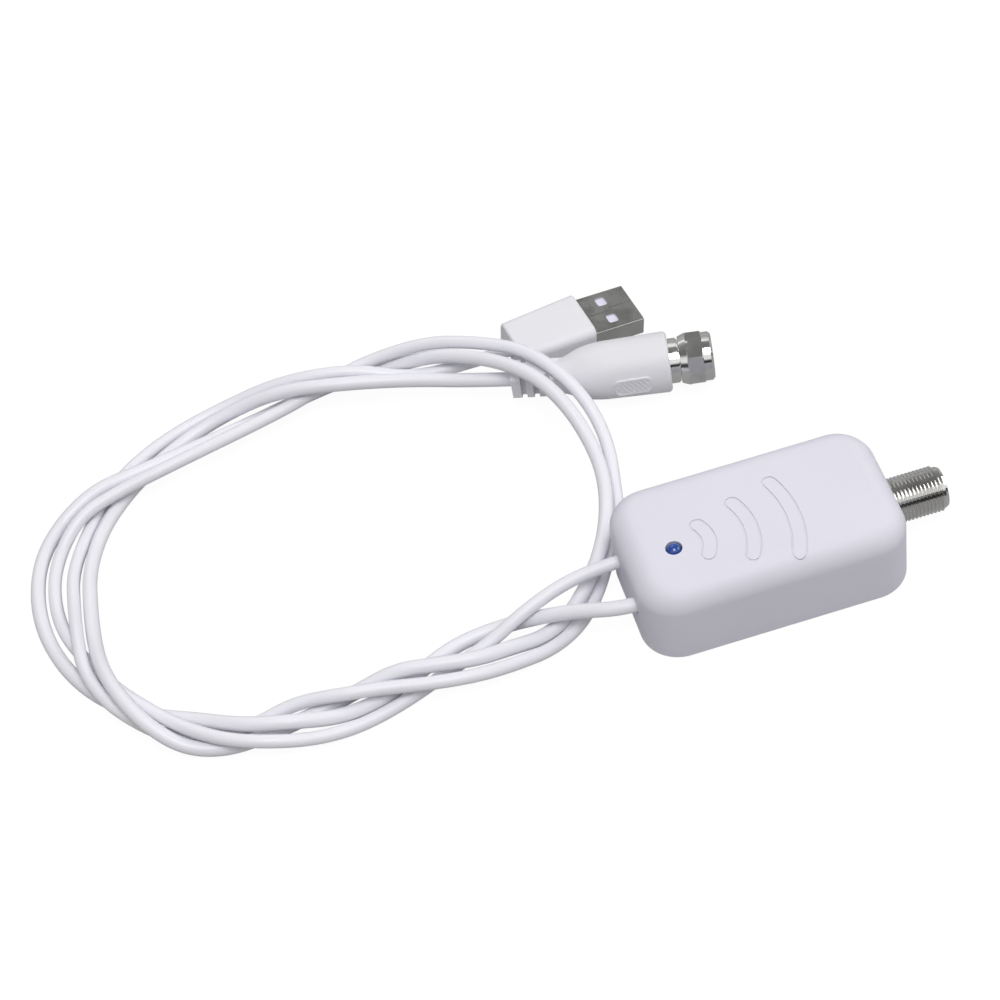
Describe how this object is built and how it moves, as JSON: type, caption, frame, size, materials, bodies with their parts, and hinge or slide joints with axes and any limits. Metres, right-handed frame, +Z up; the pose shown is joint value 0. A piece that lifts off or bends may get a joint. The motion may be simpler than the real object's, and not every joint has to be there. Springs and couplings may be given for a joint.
{
  "type": "tv signal amplifier",
  "caption": "Small rounded inline aerial amplifier case with a threaded socket and a lamp, a captive power lead with a flat plug and a captive coaxial lead with a screw-on plug.",
  "frame": {"origin": "middle of the case's underside, on the surface it stands on", "axes": "+X along the case and out of the threaded aerial socket, +Z up, +Y across the case towards the two plugs"},
  "size_m": [0.1845, 0.1002, 0.019],
  "materials": {
    "case_plastic": "fine moulded texture",
    "lead_plastic": "smooth, slightly satin",
    "lamp": "clear, moulded",
    "tongue_plastic": "moulded",
    "white_insulator": "moulded",
    "board": "solder mask",
    "black_epoxy": "moulded",
    "ceramic": "fired",
    "ferrite": "sintered",
    "wire_red": "insulated",
    "nickel": "bright plated",
    "plug_steel": "bright stamped",
    "screw_steel": "plain",
    "tin": "tinned",
    "aluminium_can": "drawn",
    "enamelled_copper": "enamelled",
    "bare_copper": "drawn",
    "brass_contact": "plated",
    "gold": "gold flash"
  },
  "bodies": {
    "amplifier": {"aerial_plug_boot": "lead_plastic", "aerial_socket": "nickel", "amplifier_chip": "black_epoxy", "board_screws": "screw_steel", "bottom_cover": "case_plastic", "case_screws": "screw_steel", "chip_capacitors": "ceramic", "chip_resistors": "black_epoxy", "choke_core": "ferrite", "choke_winding": "enamelled_copper", "circuit_board": "board", "clamp_screw": "screw_steel", "coax_braid_tail": "tin", "coax_core_tail": "enamelled_copper", "coax_lead": "lead_plastic", "cord_clamp": "case_plastic", "electrolytic_capacitor": "aluminium_can", "lamp_legs": "tin", "plug_insulator": "white_insulator", "plug_pin": "bare_copper", "plug_post": "nickel", "plug_sleeve": "nickel", "power_wires": "wire_red", "shield_can": "tin", "socket_contact": "brass_contact", "socket_insulator": "white_insulator", "status_lamp": "lamp", "top_shell": "case_plastic", "usb_boot": "lead_plastic", "usb_contacts": "gold", "usb_lead": "lead_plastic", "usb_shell": "plug_steel", "usb_tongue": "tongue_plastic", "voltage_regulator": "black_epoxy"},
    "nut": {"coupling_nut": "nickel"}
  },
  "joints": [
    {"name": "coupling_nut_spin", "type": "hinge", "parent": "amplifier", "child": "nut", "pos_m": [0.00488, 0.0538, 0.00695], "axis": [0.9799, -0.1994, 0], "continuous": true}
  ]
}
